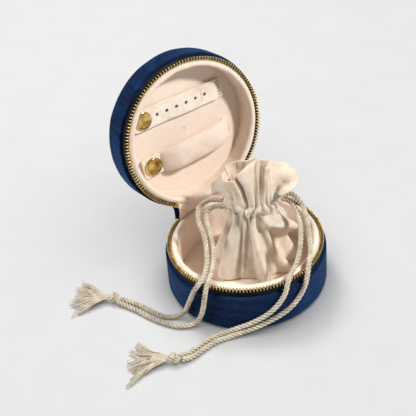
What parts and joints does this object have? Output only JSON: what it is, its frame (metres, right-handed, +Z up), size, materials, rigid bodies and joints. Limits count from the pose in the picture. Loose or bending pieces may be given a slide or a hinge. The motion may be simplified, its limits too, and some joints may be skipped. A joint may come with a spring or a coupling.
{
  "type": "jewellery gift box",
  "caption": "Round zip-up velvet travel jewellery box, lid open on a soft gusset, with earring strap and ring roll in the lid and a drawstring pouch in the base.",
  "frame": {"origin": "centre of the base's underside, on the table", "axes": "+Z up, hinge gusset towards +Y, front of the box towards -Y, +X to the right seen from the front"},
  "size_m": [0.1548, 0.1334, 0.1321],
  "materials": {
    "navy_velvet": "short crushed pile",
    "cream_lining": "brushed microfibre",
    "card_board": "grey board",
    "foam": "soft foam",
    "zip_tape": "woven tape",
    "zip_brass": "polished",
    "snap_brass": "polished",
    "ivory_cotton": "soft plain weave",
    "cord_cotton": "twisted, unbleached"
  },
  "bodies": {
    "base": {"base_bottom_velvet": "navy_velvet", "base_side_velvet": "navy_velvet", "base_floor_board": "card_board", "base_wall_board": "card_board", "base_floor_pad": "foam", "base_floor_lining": "cream_lining", "base_wall_lining": "cream_lining", "base_zip_tape": "zip_tape", "base_zip_teeth": "zip_brass", "base_zip_stops": "zip_brass", "gusset_velvet": "navy_velvet", "gusset_lining": "cream_lining"},
    "lid": {"lid_top_velvet": "navy_velvet", "lid_side_velvet": "navy_velvet", "lid_top_board": "card_board", "lid_wall_board": "card_board", "lid_panel_pad": "foam", "lid_panel_lining": "cream_lining", "lid_wall_lining": "cream_lining", "lid_zip_tape": "zip_tape", "lid_zip_teeth": "zip_brass", "lid_zip_stops": "zip_brass", "earring_snap_stud": "snap_brass", "ring_snap_stud": "snap_brass"},
    "earring_flap": {"earring_strap": "cream_lining", "earring_snap_cap": "snap_brass", "earring_snap_socket": "snap_brass"},
    "ring_flap": {"ring_roll_cover": "cream_lining", "ring_roll_core": "foam", "ring_roll_tab": "cream_lining", "ring_snap_cap": "snap_brass", "ring_snap_socket": "snap_brass"},
    "slider": {"slider_body": "zip_brass", "slider_bail": "zip_brass"},
    "pull": {"pull_tab": "zip_brass"},
    "pouch": {"pouch_body": "ivory_cotton", "pouch_channel": "ivory_cotton", "pouch_frill": "ivory_cotton", "left_cord_back": "cord_cotton", "left_cord_front": "cord_cotton", "right_cord_inner": "cord_cotton", "right_cord_outer": "cord_cotton", "left_knot": "cord_cotton", "right_knot": "cord_cotton", "left_tassel": "cord_cotton", "right_tassel": "cord_cotton"}
  },
  "joints": [
    {"name": "lid_hinge", "type": "hinge", "parent": "base", "child": "lid", "pos_m": [0, 0.045, 0.0389], "axis": [-1, 0, 0], "range_deg": [-100.5, 0], "deforming": ["gusset_velvet", "gusset_lining", "pouch_body", "pouch_channel", "pouch_frill", "left_cord_back", "left_cord_front", "right_cord_inner", "right_cord_outer", "left_knot", "right_knot", "left_tassel", "right_tassel"]},
    {"name": "zip_travel", "type": "hinge", "parent": "base", "child": "slider", "pos_m": [0, 0, 0.03252], "axis": [0, 0, 1], "range_deg": [-302, 0], "deforming": ["gusset_velvet", "gusset_lining", "left_cord_back", "left_cord_front", "right_cord_inner", "right_cord_outer"]},
    {"name": "zip_pull_swing", "type": "hinge", "parent": "slider", "child": "pull", "pos_m": [0.01999, 0.04708, 0.03252], "axis": [0, 0, 1], "range_deg": [0, 110]},
    {"name": "earring_strap_lift", "type": "hinge", "parent": "lid", "child": "earring_flap", "pos_m": [0.031, 0.06436, 0.09837], "axis": [0, 0.1822, 0.9833], "range_deg": [0, 45]},
    {"name": "ring_roll_lift", "type": "hinge", "parent": "lid", "child": "ring_flap", "pos_m": [0.031, 0.05926, 0.07084], "axis": [-0.061, 0.1819, 0.9814], "range_deg": [0, 30], "deforming": ["pouch_body", "pouch_channel", "pouch_frill", "left_cord_back", "left_cord_front", "right_cord_inner", "right_cord_outer", "left_knot", "right_knot", "left_tassel", "right_tassel"]},
    {"name": "pouch_lift", "type": "slide", "parent": "base", "child": "pouch", "axis": [0, 0, 1], "range_m": [0, 0.135], "deforming": ["pouch_body", "pouch_channel", "pouch_frill", "left_cord_back", "left_cord_front", "right_cord_inner", "right_cord_outer", "left_knot", "right_knot", "left_tassel", "right_tassel"]}
  ]
}
